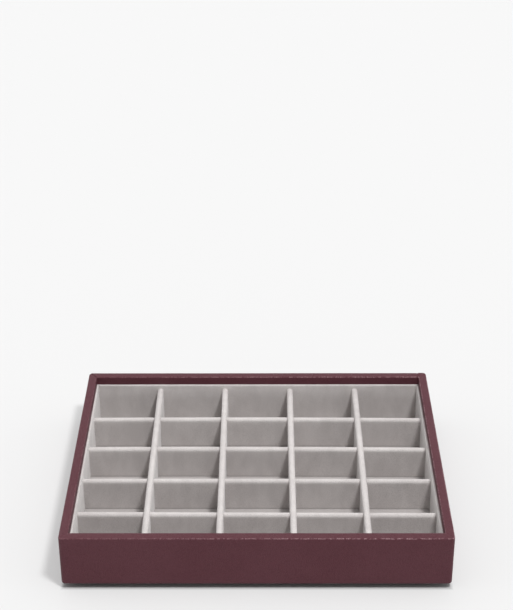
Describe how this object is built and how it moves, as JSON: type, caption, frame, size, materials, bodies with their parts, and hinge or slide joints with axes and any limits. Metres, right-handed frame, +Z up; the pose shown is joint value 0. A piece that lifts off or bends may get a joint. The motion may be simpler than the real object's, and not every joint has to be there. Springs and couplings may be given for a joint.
{
  "type": "stackable jewelry tray",
  "caption": "Low open tray with a rimmed recess and a fixed lined grid of small compartments; a set-in plinth drops into the recess of the tray below.",
  "frame": {"origin": "middle of the plinth's underside, on the surface the tray stands on", "axes": "+X to the right along the long side, +Y from the front to the back, +Z up"},
  "size_m": [0.25, 0.188, 0.0409],
  "materials": {
    "leatherette": "fine pebbled grain, semi-matt",
    "velvet": "short napped pile",
    "underside_felt": "dense felt",
    "board": "raw fibreboard",
    "card": "raw grey card"
  },
  "bodies": {
    "root": {"front_board": "board", "back_board": "board", "left_board": "board", "right_board": "board", "base_board": "board", "plinth_board": "board", "plinth_cover": "underside_felt", "front_wrap": "leatherette", "back_wrap": "leatherette", "left_wrap": "leatherette", "right_wrap": "leatherette", "front_liner_card": "card", "back_liner_card": "card", "left_liner_card": "card", "right_liner_card": "card", "front_liner_velvet": "velvet", "back_liner_velvet": "velvet", "left_liner_velvet": "velvet", "right_liner_velvet": "velvet", "floor_velvet": "velvet", "long_divider_board_1": "card", "long_divider_velvet_1": "velvet", "long_divider_board_2": "card", "long_divider_velvet_2": "velvet", "long_divider_board_3": "card", "long_divider_velvet_3": "velvet", "long_divider_board_4": "card", "long_divider_velvet_4": "velvet", "cross_divider_board_1": "card", "cross_divider_velvet_1": "velvet", "cross_divider_board_2": "card", "cross_divider_velvet_2": "velvet", "cross_divider_board_3": "card", "cross_divider_velvet_3": "velvet", "cross_divider_board_4": "card", "cross_divider_velvet_4": "velvet"}
  },
  "joints": []
}
